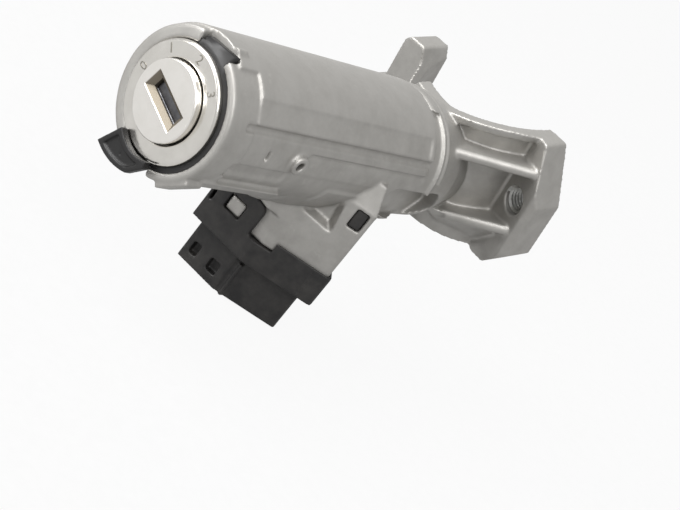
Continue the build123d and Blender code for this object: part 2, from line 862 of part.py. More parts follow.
# Drive shaft: tang in the plug, flange, and a plain shaft to the rear bearing
with BuildPart() as drive_shaft:
    with BuildSketch(slot_station(tang_front + 0.2)):
        Rectangle(tang_length, tang_width)
    extrude(amount=-(flange_front - tang_front - 0.2))
    with BuildSketch(station(flange_front)):
        Circle(flange_radius)
    extrude(amount=-(flange_rear - flange_front))
    with BuildSketch(station(flange_rear)):
        Circle(shaft_radius)
    extrude(amount=-(shaft_end - flange_rear))
    # Groove for the clip
    with BuildSketch(station(clip_front)):
        Circle(shaft_radius + 1)
        Circle(shaft_radius - 0.4, mode=Mode.SUBTRACT)
    extrude(amount=-clip_thickness, mode=Mode.SUBTRACT)

drive_shaft.part.label = "drive_shaft"
export_step(drive_shaft.part, "parts/drive_shaft.step")

with BuildPart() as shaft_clip:
    with BuildSketch(station(clip_front)):
        Circle(shaft_radius + 1.3)
        Circle(shaft_radius - 0.4, mode=Mode.SUBTRACT)
        with Locations((0, 3)):
            Rectangle(3.6, 6, mode=Mode.SUBTRACT)
    extrude(amount=-clip_thickness)

shaft_clip.part.label = "shaft_clip"
export_step(shaft_clip.part, "parts/shaft_clip.step")

# Mitre gear about +Y with its cone's tip at (0, 0): the ring of teeth is cut from a cone by slices
root_large = gear_pitch_radius - gear_dedendum / sqrt(2)
tip_large = gear_pitch_radius + gear_addendum / sqrt(2)
back_root = -gear_pitch_radius - gear_dedendum / sqrt(2)
back_tip = -gear_pitch_radius + gear_addendum / sqrt(2)


def mitre_gear(plane, first_angle):
    """Bevel gear on a plane whose normal points at the cone's tip, at the plane's origin."""
    with BuildPart() as teeth:
        with BuildSketch(Plane.XZ):
            Polygon(
                (root_large - 0.4, back_root),
                (root_large, back_root),
                (tip_large, back_tip),
                (tip_large * gear_small_end, back_tip * gear_small_end),
                (root_large * gear_small_end, back_root * gear_small_end),
                (root_large * gear_small_end - 0.4, back_root * gear_small_end),
                align=None,
            )
        revolve(axis=Axis.Z)
        with BuildSketch(Plane.XY.offset(-12)):
            for index in range(gear_teeth):
                middle = first_angle + index * 360 / gear_teeth
                half = gear_tooth_share * 180 / gear_teeth
                add(pie(12, middle - half, middle + half))
        extrude(amount=12, mode=Mode.INTERSECT)
    with BuildPart() as gear:
        with BuildSketch(Plane.XZ):
            Polygon(
                (shaft_radius, back_root - gear_hub_length),
                (gear_hub_radius, back_root - gear_hub_length),
                (gear_hub_radius, back_root - 0.9),
                (root_large, back_root),
                (root_large * gear_small_end, back_root * gear_small_end),
                (shaft_radius, back_root * gear_small_end),
                align=None,
            )
        revolve(axis=Axis.Z)
        add(teeth.part)
    return plane.location * gear.part


drive_gear = mitre_gear(
    Plane(origin=(0, branch_y, 0), x_dir=(0, 0, -1), z_dir=(0, 1, 0)),
    0,
)
drive_gear.label = "drive_gear"
export_step(drive_gear, "parts/drive_gear.step")

switch_gear = mitre_gear(
    Plane(origin=(0, branch_y, 0), x_dir=(0, -1, 0), z_dir=(0, 0, 1)),
    180 / gear_teeth,
)
switch_gear.label = "switch_gear"
export_step(switch_gear, "parts/switch_gear.step")

return_spring = coil(
    Plane(origin=(0, flange_rear + return_spring_wire / 2, 0), z_dir=(0, 1, 0)),
    return_spring_radius,
    return_spring_wire,
    branch_y + back_root - gear_hub_length - flange_rear - return_spring_wire - 0.1,
    4,
)
return_spring.label = "return_spring"
export_step(return_spring, "parts/return_spring.step")

# Cam drum: the most skilled shape here, a groove that follows a slanted plane round the drum
groove_slope = cam_throw / cam_peg_circle
groove_sin = sin(radians(cam_groove_angle))
groove_cos = cos(radians(cam_groove_angle))
groove_plane = Plane(
    origin=(0, cam_groove_middle, 0),
    z_dir=(-groove_slope * groove_sin, 1, groove_slope * groove_cos),
)
with BuildPart() as cam_groove:
    with BuildSketch(groove_plane):
        Circle(3 * cam_radius)
    extrude(amount=cam_groove_half, both=True)
    with BuildSketch(station(cam_front - 20)):
        add(pie(
            2 * cam_radius,
            cam_groove_angle - cam_groove_reach,
            cam_groove_angle + cam_groove_reach,
        ))
        Circle(cam_core_radius, mode=Mode.SUBTRACT)
    extrude(amount=-40, mode=Mode.INTERSECT)

with BuildPart() as shaft_cam:
    with BuildSketch(station(cam_front)):
        Circle(cam_radius)
        Circle(shaft_radius, mode=Mode.SUBTRACT)
    extrude(amount=-(cam_rear - cam_front))
    add(cam_groove.part, mode=Mode.SUBTRACT)

shaft_cam.part.label = "shaft_cam"
export_step(shaft_cam.part, "parts/shaft_cam.step")

# Lock bolt, with a tail and a peg that runs in the cam drum's groove
with BuildPart() as lock_bolt:
    with BuildSketch(bracket_station(lock_bolt_front)):
        with Locations((saddle_x, 0)):
            Rectangle(lock_bolt_width, lock_bolt_height)
    extrude(amount=-(lock_bolt_tip - lock_bolt_front))
    chamfer(lock_bolt.edges().group_by(Axis.Y)[-1], 0.8)
    with BuildSketch(bracket_station(peg_t - peg_radius - 0.5)):
        with Locations(((tail_left + tail_right) / 2, (tail_low + tail_high) / 2)):
            Rectangle(tail_right - tail_left, tail_high - tail_low)
    extrude(amount=-(lock_bolt_front - peg_t + peg_radius + 0.5))
    peg_centre = bracket_origin + bracket_out * peg_t + bracket_up * peg_w
    with BuildSketch(Plane(origin=peg_centre + Vector(tail_right, 0, 0), x_dir=(0, 1, 0), z_dir=(1, 0, 0))):
        Circle(peg_radius)
    extrude(amount=peg_end_x - tail_right)

lock_bolt.part.label = "lock_bolt"
export_step(lock_bolt.part, "parts/lock_bolt.step")

# Retaining pin of the cylinder and its spring
with BuildPart() as retaining_pin:
    with BuildSketch(Plane(origin=(pin_inner_x, pin_y, pin_z), x_dir=(0, 1, 0), z_dir=(1, 0, 0))):
        Circle(pin_radius)
    extrude(amount=pin_outer_x - pin_inner_x)
    chamfer(retaining_pin.edges().group_by(Axis.X)[-1], 0.3)

retaining_pin.part.label = "retaining_pin"
export_step(retaining_pin.part, "parts/retaining_pin.step")

retaining_spring = coil(
    Plane(origin=(pin_seat_x + 0.15, pin_y, pin_z), z_dir=(1, 0, 0)),
    0.8,
    0.3,
    pin_inner_x - pin_seat_x - 0.3,
    2,
)
retaining_spring.label = "retaining_spring"
export_step(retaining_spring, "parts/retaining_spring.step")

# Spindle, rotor and contact bridges of the switch
with BuildPart() as switch_spindle:
    with BuildSketch(level(spindle_top)):
        Circle(shaft_radius)
    extrude(amount=spindle_bottom - spindle_top)

switch_spindle.part.label = "switch_spindle"
export_step(switch_spindle.part, "parts/switch_spindle.step")

with BuildPart() as contact_rotor:
    with BuildSketch(level(rotor_bottom)):
        Circle(rotor_radius)
        Circle(shaft_radius, mode=Mode.SUBTRACT)
    extrude(amount=rotor_top - rotor_bottom)
    chamfer(contact_rotor.edges().group_by(Axis.Z)[-1].sort_by(SortBy.LENGTH)[-1], 0.8)

contact_rotor.part.label = "contact_rotor"
export_step(contact_rotor.part, "parts/contact_rotor.step")

with BuildPart() as contact_bridges:
    with BuildSketch(level(bridge_bottom)):
        for start in (20, 200):
            add(pie(8.8, start, start + 110))
        Circle(5.4, mode=Mode.SUBTRACT)
    extrude(amount=rotor_bottom - bridge_bottom)

contact_bridges.part.label = "contact_bridges"
export_step(contact_bridges.part, "parts/contact_bridges.step")

# Contact plate and the blade terminals through it
with BuildPart() as contact_plate:
    with BuildSketch(level(plate_bottom)):
        Circle(plate_radius)
        with GridLocations(terminal_pitch_x, terminal_pitch_y, 2, 3):
            Rectangle(terminal_length, terminal_thickness, mode=Mode.SUBTRACT)
    extrude(amount=plate_top - plate_bottom)

contact_plate.part.label = "contact_plate"
export_step(contact_plate.part, "parts/contact_plate.step")

with BuildPart() as terminals:
    with BuildSketch(level(terminal_tip)):
        with GridLocations(terminal_pitch_x, terminal_pitch_y, 2, 3):
            Rectangle(terminal_length, terminal_thickness)
    extrude(amount=terminal_top - terminal_tip)
    chamfer(terminals.edges().group_by(Axis.Z)[0].filter_by(Axis.X), 0.25)

terminals.part.label = "terminals"
export_step(terminals.part, "parts/terminals.step")

# Switch housing: connector below, flange and bearing sleeve above, latch arm at the side
with BuildPart() as switch_housing:
    with BuildSketch(level(connector_bottom)):
        add(turned_square(connector_half, connector_flat))
    extrude(amount=branch_bottom - seat_gap - connector_bottom)
    with BuildSketch(level(branch_bottom - 1)):
        Circle(branch_bore_radius - seat_gap)
    extrude(amount=5)
    with BuildSketch(level(branch_bottom)):
        Circle(sleeve_radius)
    extrude(amount=sleeve_top - branch_bottom)
    # Latch arm, with its tongue in the window of the branch
    with BuildSketch(face_plane.offset(arm_deep - branch_half)):
        with Locations(((arm_left + arm_right) / 2, (collar_bottom + latch_top - 1) / 2)):
            Rectangle(arm_right - arm_left, latch_top - 1 - collar_bottom)
    extrude(amount=arm_thickness)
    with BuildSketch(face_plane.offset(arm_deep - branch_half)):
        with Locations(((latch_start + latch_end) / 2, (latch_top + latch_bottom) / 2)):
            Rectangle(latch_end - latch_start - 0.4, latch_top - latch_bottom - 0.4)
    extrude(amount=tongue_reach)
    # Room for the rotor, seat of the contact plate, connector socket, bearing bore
    with BuildSketch(level(plate_top)):
        Circle(rotor_room_radius)
    extrude(amount=rotor_room_top - plate_top, mode=Mode.SUBTRACT)
    with BuildSketch(level(plate_bottom - 0.1)):
        Circle(plate_radius + seat_gap)
    extrude(amount=plate_top - plate_bottom + 0.1, mode=Mode.SUBTRACT)
    with BuildSketch(level(connector_bottom - 1)):
        add(turned_square(connector_half - connector_wall, connector_flat - connector_wall))
    extrude(amount=plate_bottom - connector_bottom + 0.9, mode=Mode.SUBTRACT)
    with BuildSketch(level(rotor_room_top - 1)):
        Circle(shaft_radius + running_gap)
    extrude(amount=30, mode=Mode.SUBTRACT)
    # Two windows in the front, a step down the right face
    for left, right, low, high in ((-6.3, -3.7, -48.3, -44.4), (1.1, 5.2, -47.2, -43.0)):
        with BuildSketch(station(branch_y - connector_flat - 1)):
            with Locations(((left + right) / 2, (low + high) / 2)):
                Rectangle(right - left, high - low)
        extrude(amount=-4, mode=Mode.SUBTRACT)
    with BuildSketch(face_plane.offset(connector_half - branch_half)):
        with Locations((-4.3, (collar_bottom + connector_bottom) / 2 - 0.1)):
            Rectangle(2.4, 11.8)
    extrude(amount=-0.5, mode=Mode.SUBTRACT)

switch_housing.part.label = "switch_housing"
export_step(switch_housing.part, "parts/switch_housing.step")

# Clip ring round the joint of branch and connector
with BuildPart() as clip_ring:
    with BuildSketch(level(collar_bottom)):
        add(turned_square(collar_half, collar_flat))
    extrude(amount=collar_top - collar_bottom)
    # Tab that rises on the front flat
    with BuildSketch(level(collar_top)):
        add(turned_square(collar_half, collar_flat))
        with Locations(((tab_left + tab_right) / 2, -collar_flat)):
            Rectangle(tab_right - tab_left, 8, mode=Mode.INTERSECT)
    extrude(amount=tab_top - collar_top)
    with BuildSketch(level(branch_bottom)):
        add(turned_square(branch_half + seat_gap, branch_flat + seat_gap))
    extrude(amount=tab_top - branch_bottom + 1, mode=Mode.SUBTRACT)
    with BuildSketch(level(collar_bottom - 1)):
        add(turned_square(connector_half + seat_gap, connector_flat + seat_gap))
    extrude(amount=20, mode=Mode.SUBTRACT)
    # Window that the casting's tooth snaps into, slot beside it, notch at the tab's foot
    with BuildSketch(station(branch_y - collar_flat - 1)):
        with Locations((-1.15, -28.25)):
            Rectangle(7.1, 4.5)
        with Locations((-9.45, -30.55)):
            Rectangle(0.9, 3.9)
    extrude(amount=-3, mode=Mode.SUBTRACT)
    with BuildSketch(face_plane.offset(4)):
        with Locations((-5.2, -28)):
            Rectangle(4.4, 6)
    extrude(amount=-6, mode=Mode.SUBTRACT)
    with BuildSketch(face_plane.offset(collar_half - branch_half)):
        with Locations((12.1, (collar_top + collar_bottom) / 2)):
            Rectangle(0.5, collar_top - collar_bottom - 1.6)
    extrude(amount=-0.35, mode=Mode.SUBTRACT)

clip_ring.part.label = "clip_ring"
export_step(clip_ring.part, "parts/clip_ring.step")
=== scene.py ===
# Steering lock: a die-cast housing with a bright lock cylinder and a black plastic switch.
import math

import bpy
from mathutils import Matrix, Vector


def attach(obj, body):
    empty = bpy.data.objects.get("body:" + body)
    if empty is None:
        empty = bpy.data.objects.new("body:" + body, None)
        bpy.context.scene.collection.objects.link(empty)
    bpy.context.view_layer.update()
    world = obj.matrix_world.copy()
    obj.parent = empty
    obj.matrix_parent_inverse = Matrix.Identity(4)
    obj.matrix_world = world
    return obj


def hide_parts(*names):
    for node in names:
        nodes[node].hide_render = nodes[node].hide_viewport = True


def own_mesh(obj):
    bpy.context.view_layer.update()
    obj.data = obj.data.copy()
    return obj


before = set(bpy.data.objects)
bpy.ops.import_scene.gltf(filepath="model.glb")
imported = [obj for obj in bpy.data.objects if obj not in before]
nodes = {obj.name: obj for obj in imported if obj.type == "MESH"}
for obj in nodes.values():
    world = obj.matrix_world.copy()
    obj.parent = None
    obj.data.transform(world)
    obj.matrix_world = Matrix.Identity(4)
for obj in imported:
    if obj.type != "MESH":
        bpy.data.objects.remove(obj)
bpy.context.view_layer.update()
print("frame loaded,", len(nodes), "nodes")

mm = 0.001  # lengths below are in mm unless a note says otherwise


def toLinear(hexColour):
    values = [int(hexColour[i:i + 2], 16) / 255 for i in (1, 3, 5)]
    return [v / 12.92 if v <= 0.04045 else ((v + 0.055) / 1.055) ** 2.4 for v in values] + [1.0]


def addNode(tree, kind, settings=None, inputs=None):
    # inputs: socket name or number -> a plain value, or another node's output
    node = tree.nodes.new(kind)
    for name, value in (settings or {}).items():
        setattr(node, name, value)
    for name, value in (inputs or {}).items():
        if isinstance(value, bpy.types.NodeSocket):
            tree.links.new(value, node.inputs[name])
        else:
            node.inputs[name].default_value = value
    return node


def newMaterial(name):
    material = bpy.data.materials.new(name)
    material.use_nodes = True
    tree = material.node_tree
    tree.nodes.clear()
    output = addNode(tree, "ShaderNodeOutputMaterial")
    place = addNode(tree, "ShaderNodeTexCoord").outputs["Object"]
    return material, tree, output, place


def blendColours(tree, factor, first, second):
    return addNode(tree, "ShaderNodeMix", {"data_type": "RGBA"}, {
        0: factor, 6: toLinear(first), 7: toLinear(second),
    }).outputs[2]


def stretch(tree, value, fromLow, fromHigh, toLow, toHigh):
    return addNode(tree, "ShaderNodeMapRange", None, {
        "Value": value, "From Min": fromLow, "From Max": fromHigh, "To Min": toLow, "To Max": toHigh,
    }).outputs[0]


# Zinc die casting, as cast and tumbled: even grey skin, faint cloudiness from the die's
# release agent, fine grain, and light rubbed patches where it has been handled
castSkin = {
    "grey": "#b2b0ac", "cloud": "#a6a4a0", "rubbed": "#c8c6c1",
    "cloudSize": 6, "grainSize": 0.35, "scuffSize": 3.2,
    "roughness": (0.5, 0.6), "grainDepth": 0.06,
}


def makeCasting():
    material, tree, output, place = newMaterial("zinc die casting")
    cloud = addNode(tree, "ShaderNodeTexNoise", None, {
        "Vector": place, "Scale": 1 / (castSkin["cloudSize"] * mm), "Detail": 4, "Roughness": 0.6,
    }).outputs[0]
    grain = addNode(tree, "ShaderNodeTexNoise", None, {
        "Vector": place, "Scale": 1 / (castSkin["grainSize"] * mm), "Detail": 2,
    }).outputs[0]
    scuff = addNode(tree, "ShaderNodeTexNoise", None, {
        "Vector": place, "Scale": 1 / (castSkin["scuffSize"] * mm), "Detail": 6,
        "Roughness": 0.72, "Distortion": 0.6,
    }).outputs[0]
    skin = blendColours(tree, stretch(tree, cloud, 0.35, 0.7, 0, 1), castSkin["grey"], castSkin["cloud"])
    rubbed = addNode(tree, "ShaderNodeMix", {"data_type": "RGBA"}, {
        0: stretch(tree, scuff, 0.6, 0.78, 0, 0.5), 6: skin, 7: toLinear(castSkin["rubbed"]),
    })
    rough = stretch(tree, cloud, 0.3, 0.7, castSkin["roughness"][0], castSkin["roughness"][1])
    bump = addNode(tree, "ShaderNodeBump", None, {
        "Strength": 0.35, "Distance": castSkin["grainDepth"] * mm, "Height": grain,
    })
    shader = addNode(tree, "ShaderNodeBsdfPrincipled", None, {
        "Base Color": rubbed.outputs[2], "Metallic": 0.9, "Roughness": rough, "Normal": bump.outputs[0],
    })
    tree.links.new(shader.outputs[0], output.inputs[0])
    return material


# Bright nickel plate on turned brass: nearly a mirror, with faint rings left by the lathe
nickelSkin = {
    "light": "#f7f4ef", "shade": "#eeebe5",  # face of the plug
    "ringLight": "#e4e1db", "ringShade": "#d8d5cf",
    "roughness": (0.16, 0.24), "ringPitch": 0.594, "pitSize": 1.5, "smearSize": 5, "depth": 0.01,
    "mouth": "#867f73", "mouthRoughness": 0.6,
    "mouthFront": -1.97, "mouthBack": -1.8,  # along the barrel, just behind the plug's face
    "mouthInner": 8.6, "mouthOuter": 8.8,  # distance from the barrel's axis
}


def makeNickel(name, turned, light, shade):
    material, tree, output, place = newMaterial(name)
    if turned:
        # the wave repeats every pi / 10 at a scale of one
        pattern = addNode(tree, "ShaderNodeTexWave", {
            "wave_type": "RINGS", "rings_direction": "Y", "wave_profile": "SIN",
        }, {
            "Vector": place, "Scale": math.pi / (10 * nickelSkin["ringPitch"] * mm), "Distortion": 0.6,
            "Detail": 2, "Detail Scale": 1.5,
        }).outputs[1]
    else:
        pattern = addNode(tree, "ShaderNodeTexNoise", None, {
            "Vector": place, "Scale": 1 / (nickelSkin["pitSize"] * mm), "Detail": 5,
        }).outputs[0]
    smear = addNode(tree, "ShaderNodeTexNoise", None, {
        "Vector": place, "Scale": 1 / (nickelSkin["smearSize"] * mm), "Detail": 4,
    }).outputs[0]
    tone = blendColours(tree, stretch(tree, smear, 0.35, 0.7, 0, 1), light, shade)
    bump = addNode(tree, "ShaderNodeBump", None, {
        "Strength": 0.12, "Distance": nickelSkin["depth"] * mm, "Height": pattern,
    })
    rough = stretch(tree, smear, 0.3, 0.7, nickelSkin["roughness"][0], nickelSkin["roughness"][1])
    if not turned:
        # Bare brass shows dull and creamy on the slopes of the slot's mouth
        axes = addNode(tree, "ShaderNodeSeparateXYZ", None, {0: place})
        behind = stretch(tree, axes.outputs[1], nickelSkin["mouthFront"] * mm,
                         nickelSkin["mouthBack"] * mm, 0, 1)
        offAxis = addNode(tree, "ShaderNodeVectorMath", {"operation": "MULTIPLY"}, {
            0: place, 1: (1, 0, 1),
        })
        reach = addNode(tree, "ShaderNodeVectorMath", {"operation": "LENGTH"}, {0: offAxis.outputs[0]})
        inner = stretch(tree, reach.outputs["Value"], nickelSkin["mouthInner"] * mm,
                        nickelSkin["mouthOuter"] * mm, 1, 0)
        mouth = addNode(tree, "ShaderNodeMath", {"operation": "MULTIPLY"}, {0: behind, 1: inner}).outputs[0]
        tone = addNode(tree, "ShaderNodeMix", {"data_type": "RGBA"}, {
            0: mouth, 6: tone, 7: toLinear(nickelSkin["mouth"]),
        }).outputs[2]
        rough = addNode(tree, "ShaderNodeMix", {"data_type": "FLOAT"}, {
            0: mouth, 2: rough, 3: nickelSkin["mouthRoughness"],
        }).outputs[0]
    shader = addNode(tree, "ShaderNodeBsdfPrincipled", None, {
        "Base Color": tone, "Metallic": 1.0, "Roughness": rough, "Normal": bump.outputs[0],
    })
    tree.links.new(shader.outputs[0], output.inputs[0])
    return material


# Black mouldings of nylon and acetal: dull sheen, fine grain, paler where the mould's finish
# is coarser
nylonSkin = {
    "black": "#191818", "grey": "#373533",
    "grainSize": 0.3, "grainDepth": 0.03, "hazeSize": 7, "roughness": (0.4, 0.58),
}


def makeNylon(name, black, grey):
    material, tree, output, place = newMaterial(name)
    grain = addNode(tree, "ShaderNodeTexNoise", None, {
        "Vector": place, "Scale": 1 / (nylonSkin["grainSize"] * mm), "Detail": 3,
    }).outputs[0]
    haze = addNode(tree, "ShaderNodeTexNoise", None, {
        "Vector": place, "Scale": 1 / (nylonSkin["hazeSize"] * mm), "Detail": 5, "Roughness": 0.65,
    }).outputs[0]
    tone = blendColours(tree, stretch(tree, haze, 0.4, 0.75, 0, 1), black, grey)
    bump = addNode(tree, "ShaderNodeBump", None, {
        "Strength": 0.3, "Distance": nylonSkin["grainDepth"] * mm, "Height": grain,
    })
    rough = stretch(tree, haze, 0.3, 0.7, nylonSkin["roughness"][0], nylonSkin["roughness"][1])
    shader = addNode(tree, "ShaderNodeBsdfPrincipled", None, {
        "Base Color": tone, "Roughness": rough, "Normal": bump.outputs[0],
    })
    tree.links.new(shader.outputs[0], output.inputs[0])
    return material


# Smaller metal parts: oiled steel, drawn spring wire and stamped brass, streaked by their making
metalSkin = {"streakSize": 2, "smoother": 0.06, "rougher": 0.08}


def makeMetal(name, light, dark, roughness):
    material, tree, output, place = newMaterial(name)
    streak = addNode(tree, "ShaderNodeTexNoise", None, {
        "Vector": place, "Scale": 1 / (metalSkin["streakSize"] * mm), "Detail": 5, "Roughness": 0.6,
    }).outputs[0]
    tone = blendColours(tree, stretch(tree, streak, 0.35, 0.7, 0, 1), light, dark)
    rough = stretch(tree, streak, 0.3, 0.7, roughness - metalSkin["smoother"],
                    roughness + metalSkin["rougher"])
    shader = addNode(tree, "ShaderNodeBsdfPrincipled", None, {
        "Base Color": tone, "Metallic": 1.0, "Roughness": rough,
    })
    tree.links.new(shader.outputs[0], output.inputs[0])
    return material


casting = makeCasting()
nickelTurned = makeNickel("nickel plate on turned brass", True,
                          nickelSkin["ringLight"], nickelSkin["ringShade"])
nickelPlug = makeNickel("nickel plate on the plug", False, nickelSkin["light"], nickelSkin["shade"])
nylonBlack = makeNylon("black glass-filled nylon", nylonSkin["black"], nylonSkin["grey"])
# The guide ring is its own black with painted shade on top: a darker copy of the black plastic stands in for
# the shade of the gap it sits in
nylonRingWithPaintedShade = makeNylon("black acetal guide ring with painted shade", "#121111", "#1c1b1a")
# The lever is its own black with painted shade on top: a darker copy of the black plastic dims how brightly
# the lamps light the paddle
nylonLeverWithPaintedShade = makeNylon("black acetal lever with painted shade", "#0a0909", "#111010")
nylonSwitch = makeNylon("grey phenolic switch parts", "#4a4845", "#5a5752")
steelOiled = makeMetal("oiled steel", "#6c6c6e", "#4d4d50", 0.35)
steelWire = makeMetal("drawn spring wire", "#8d8d8e", "#6f6f70", 0.3)
brassStamped = makeMetal("stamped brass", "#c9a95e", "#a5853f", 0.28)
steelThread = makeMetal("bright cut thread in the casting", "#a9a9a6", "#8b8b88", 0.3)
nickelFigure = makeMetal("embossed nickel", "#96938c", "#86837c", 0.4)

finishOf = {
    "lock_housing": casting, "cylinder_body": casting, "face_ring": nickelTurned, "key_plug": nickelPlug,
    "guide_ring": nylonRingWithPaintedShade, "release_lever": nylonBlack, "switch_housing": nylonBlack,
    "clip_ring": nylonBlack, "contact_rotor": nylonSwitch, "contact_plate": nylonSwitch,
    "slot_shutter": steelOiled, "drive_shaft": steelOiled, "drive_gear": steelOiled,
    "switch_gear": steelOiled, "shaft_cam": steelOiled, "lock_bolt": steelOiled,
    "retaining_pin": steelOiled, "switch_spindle": steelOiled,
    "wafers": brassStamped, "contact_bridges": brassStamped, "terminals": brassStamped,
}
for name, node in nodes.items():
    node.data.materials.clear()
    node.data.materials.append(finishOf.get(name, steelWire))
print("materials made")


# Helpers for modelling: a part of the frame is copied and merged, and tools are joined to it
# or cut out of it. Where a tool reaches well past the piece, its length is a plain round number
def selectOnly(piece):
    bpy.ops.object.select_all(action="DESELECT")
    piece.select_set(True)
    bpy.context.view_layer.objects.active = piece


def copyOfNode(nodeName, pieceName):
    piece = bpy.data.objects.new(pieceName, nodes[nodeName].data.copy())
    bpy.context.scene.collection.objects.link(piece)
    selectOnly(piece)
    bpy.ops.object.mode_set(mode="EDIT")
    bpy.ops.mesh.select_all(action="SELECT")
    bpy.ops.mesh.remove_doubles(threshold=0.001 * mm)
    bpy.ops.object.mode_set(mode="OBJECT")
    return piece


def applyPlace(tool):
    selectOnly(tool)
    bpy.ops.object.transform_apply(location=True, rotation=True, scale=True)
    return tool


def blockTool(middle, size, turn=(0, 0, 0), edge=0.0):
    # turn is in degrees about X, Y and Z, and edge rounds the block's edges
    bpy.ops.object.select_all(action="DESELECT")
    bpy.ops.mesh.primitive_cube_add(size=1, location=[v * mm for v in middle],
                                    rotation=[math.radians(v) for v in turn])
    tool = bpy.context.object
    tool.scale = [v * mm for v in size]
    applyPlace(tool)
    if edge:
        bpy.ops.object.mode_set(mode="EDIT")
        bpy.ops.mesh.select_all(action="SELECT")
        bpy.ops.mesh.bevel(offset=edge * mm, segments=4)
        bpy.ops.object.mode_set(mode="OBJECT")
    return tool


def rodTool(start, end, radius, endRadius=None, sides=48, edge=0.0):
    # a rod, or a cone where endRadius is given
    axis = Vector(end) - Vector(start)
    bpy.ops.object.select_all(action="DESELECT")
    bpy.ops.mesh.primitive_cone_add(
        vertices=sides, radius1=radius * mm, radius2=(radius if endRadius is None else endRadius) * mm,
        depth=axis.length * mm, location=(Vector(start) + axis / 2) * mm,
        rotation=axis.to_track_quat("Z", "Y").to_euler())
    tool = applyPlace(bpy.context.object)
    if edge:
        bevel = tool.modifiers.new("rounded ends", "BEVEL")
        bevel.width = edge * mm
        bevel.segments = 4
        bevel.limit_method = "ANGLE"
        bevel.angle_limit = math.radians(50)
        bpy.ops.object.modifier_apply(modifier="rounded ends")
    return tool


def workOn(piece, tool, operation):
    # UNION joins the tool to the piece, DIFFERENCE cuts it out, INTERSECT keeps what both share
    selectOnly(piece)
    step = piece.modifiers.new("step", "BOOLEAN")
    step.operation = operation
    step.solver = "EXACT"
    step.object = tool
    bpy.ops.object.modifier_apply(modifier="step")
    bpy.data.objects.remove(tool)


def evenSkin(piece, facts):
    # an even mesh, smoothed a little, rounds the edges as a mould does
    selectOnly(piece)
    even = piece.modifiers.new("even mesh", "REMESH")
    even.mode = "VOXEL"
    even.voxel_size = facts["voxel"] * mm
    bpy.ops.object.modifier_apply(modifier="even mesh")
    soft = piece.modifiers.new("rounded edges", "SMOOTH")
    soft.factor = 0.5
    soft.iterations = facts["rounds"]
    bpy.ops.object.modifier_apply(modifier="rounded edges")
    count = len(piece.data.polygons) * 2
    if count > facts["mostFaces"]:
        thin = piece.modifiers.new("fewer faces", "DECIMATE")
        thin.ratio = facts["mostFaces"] / count
        bpy.ops.object.modifier_apply(modifier="fewer faces")
    print(piece.name, "even mesh,", len(piece.data.polygons), "faces")


evenAngle = 180  # an even mesh is shaded smooth all over


def finishPiece(piece, body, material, nodeName=None, angle=40):
    selectOnly(piece)
    if angle < 180:
        bpy.ops.object.shade_smooth_by_angle(angle=math.radians(angle))
    else:
        bpy.ops.object.shade_smooth()
    piece.data.materials.clear()
    piece.data.materials.append(material)
    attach(piece, body)
    if nodeName:
        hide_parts(nodeName)


def around(radius, angle, y):
    # a point at an angle in degrees from +X towards +Z about the barrel's axis
    return (radius * math.cos(math.radians(angle)), y, radius * math.sin(math.radians(angle)))


# The bracket at the rear leans back from the barrel; the switch's branch hangs straight down
bracketFacts = {
    "start": 95, "lean": 15,
    "holes": (("Right", 25.1, 2.4), ("Left", -32.1, -8.5)),  # side, x and height on the bracket
}
branchY = 67.5
lean = math.radians(bracketFacts["lean"])
bracketOut = Vector((0, math.cos(lean), math.sin(lean)))
bracketUp = Vector((0, -math.sin(lean), math.cos(lean)))


def bracketPoint(x, away, height):
    return Vector((x, bracketFacts["start"], 0)) + bracketOut * away + bracketUp * height


# The casting: the belly that runs over the switch branch, the branch's shoulder, the flat
# panel and the grooves along the barrel, the end collar's gap and ridge, and the tapped holes
castingFacts = {
    "voxel": 0.42, "rounds": 2, "mostFaces": 190000,
    "belly": {"radius": 18.7, "x": 2.5, "z": -2.2, "front": 39.5, "rear": 73.0, "edge": 3.2},
    "shoulder": {"half": 16.4, "z": -7.4, "topHalf": 14.0, "topZ": 0.8, "flat": 17.4},
    "barrelBore": {"radius": 15.5, "front": 20, "rear": 120},
    "branchBore": {"radius": 13.0, "bottom": -32, "top": 2},
    "panel": {"angle": 36.8, "depth": 18.92, "width": 6.7, "front": 8.4, "rear": 80.7},
    "stepGroove": {"angle": 25.3, "middle": 18.9, "radius": 1.25, "front": 7.5, "rear": 83.0},
    "lineGroove": {"angle": 12.9, "middle": 18.3, "radius": 0.9, "front": 33.4, "rear": 83.0},
    "slit": {"y": 18.9, "angle": 6.5, "middle": 18.3, "size": (2.4, 0.95, 2.9)},
    "collarGap": {
        "front": 82.6, "rear": 87.0, "depth": 17.9,
        "middle": (20, 85, 5.5), "size": (30, 20, 25),  # the side where it is open
    },
    "collarRidge": {"y": 89.2, "radius": 17.5, "bead": 1.5, "bottom": 3.5},
    "hole": {"radius": 4.05, "front": 19.0, "rear": 31.0},
}
housing = copyOfNode("lock_housing", "castHousing")

spot = castingFacts["belly"]
belly, other = [
    rodTool((x, spot["front"], spot["z"]), (x, spot["rear"], spot["z"]), spot["radius"], edge=spot["edge"])
    for x in (-spot["x"], spot["x"])
]
workOn(belly, other, "INTERSECT")
spot = castingFacts["shoulder"]
shoulder = rodTool((0, branchY, spot["z"]), (0, branchY, spot["topZ"]), spot["half"] * math.sqrt(2),
                   spot["topHalf"] * math.sqrt(2), sides=4)
workOn(shoulder, blockTool((0, branchY, 0), (60, 2 * spot["flat"], 40)), "INTERSECT")
along = castingFacts["barrelBore"]
down = castingFacts["branchBore"]
for lump in (belly, shoulder):
    workOn(lump, rodTool((0, along["front"], 0), (0, along["rear"], 0), along["radius"]), "DIFFERENCE")
    workOn(lump, rodTool((0, branchY, down["bottom"]), (0, branchY, down["top"]), down["radius"]),
           "DIFFERENCE")
    workOn(housing, lump, "UNION")

